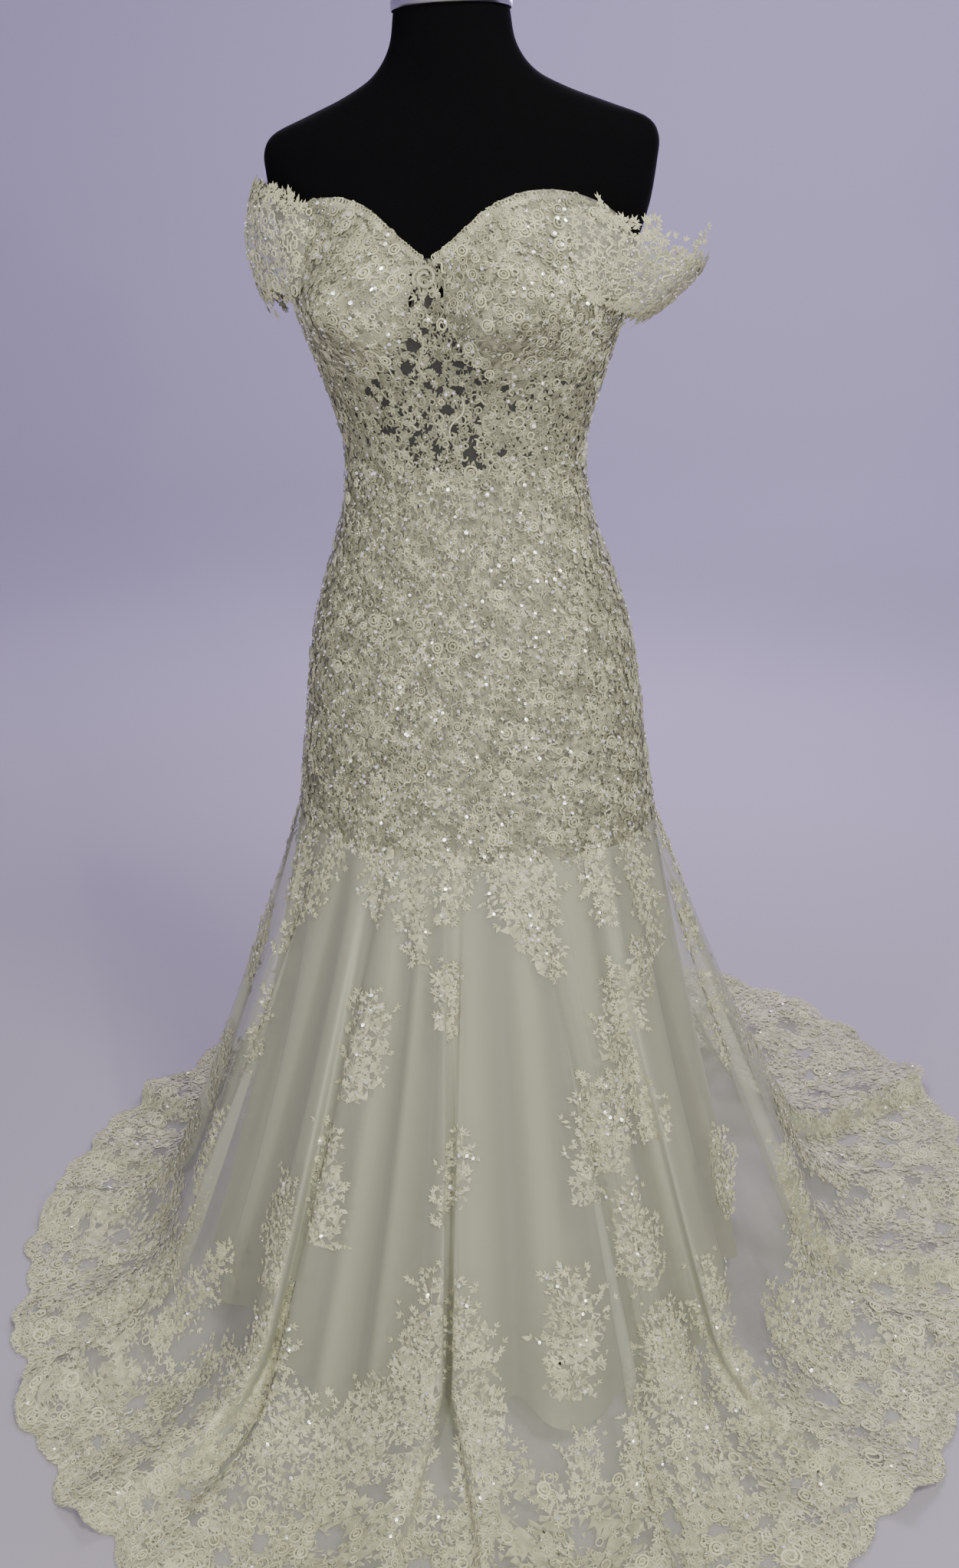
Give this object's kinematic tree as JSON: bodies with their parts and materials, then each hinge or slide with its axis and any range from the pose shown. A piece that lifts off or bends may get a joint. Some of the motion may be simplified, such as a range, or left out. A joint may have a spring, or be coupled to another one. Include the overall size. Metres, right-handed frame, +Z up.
{
  "type": "wedding dress on a dress form",
  "caption": "Trumpet wedding dress with off-shoulder lace sleeves, sheer lace midriff, flared net skirt and lace-bordered train, on a limbless dress form with a round stand.",
  "frame": {"origin": "centre of the stand base's flat underside, on the floor", "axes": "+Z up along the form's pole, front of the gown towards -Y, the wearer's left towards +X"},
  "size_m": [1.3249, 1.4449, 1.496],
  "materials": {
    "lace": "corded ivory lace with beads and sequins",
    "net": "fine ivory net, sheer",
    "lining": "ivory satin lining",
    "illusion": "fine sheer illusion net",
    "form_cover": "black velvet-like form cover",
    "steel": "brushed steel cap and pole",
    "base_paint": "black satin paint on an iron disc"
  },
  "bodies": {
    "root": {"back_left": "lace", "back_right": "lace", "back_zip": "lining", "border_front": "lace", "border_left": "lace", "border_right": "lace", "border_train": "lace", "cup_left": "lace", "cup_right": "lace", "form_base": "base_paint", "form_neck_cap": "steel", "form_pole": "steel", "form_torso": "form_cover", "hip_lace_back_left": "lace", "hip_lace_back_right": "lace", "hip_lace_front": "lace", "lace_point_102": "lace", "lace_point_24": "lace", "lace_point_38": "lace", "lace_point_42": "lace", "lace_point_47": "lace", "lace_point_53": "lace", "lace_point_57": "lace", "lace_point_66": "lace", "lace_point_76": "lace", "lace_point_90": "lace", "lace_sprig_101_3": "lace", "lace_sprig_18_4": "lace", "lace_sprig_33_5": "lace", "lace_sprig_35_2": "lace", "lace_sprig_40_5": "lace", "lace_sprig_43_6": "lace", "lace_sprig_44_2": "lace", "lace_sprig_45_4": "lace", "lace_sprig_48_6": "lace", "lace_sprig_50_1": "lace", "lace_sprig_51_4": "lace", "lace_sprig_55_6": "lace", "lace_sprig_56_3": "lace", "lace_sprig_59_3": "lace", "lace_sprig_61_1": "lace", "lace_sprig_61_5": "lace", "lace_sprig_63_3": "lace", "lace_sprig_70_1": "lace", "lace_sprig_72_5": "lace", "lace_sprig_81_3": "lace", "lace_sprig_92_4": "lace", "lining_back_left": "lining", "lining_back_right": "lining", "lining_front": "lining", "midriff_lace": "lace", "midriff_net": "illusion", "net_front": "net", "net_left": "net", "net_right": "net", "net_train": "net", "sleeve_left": "lace", "sleeve_right": "lace"}
  },
  "joints": []
}
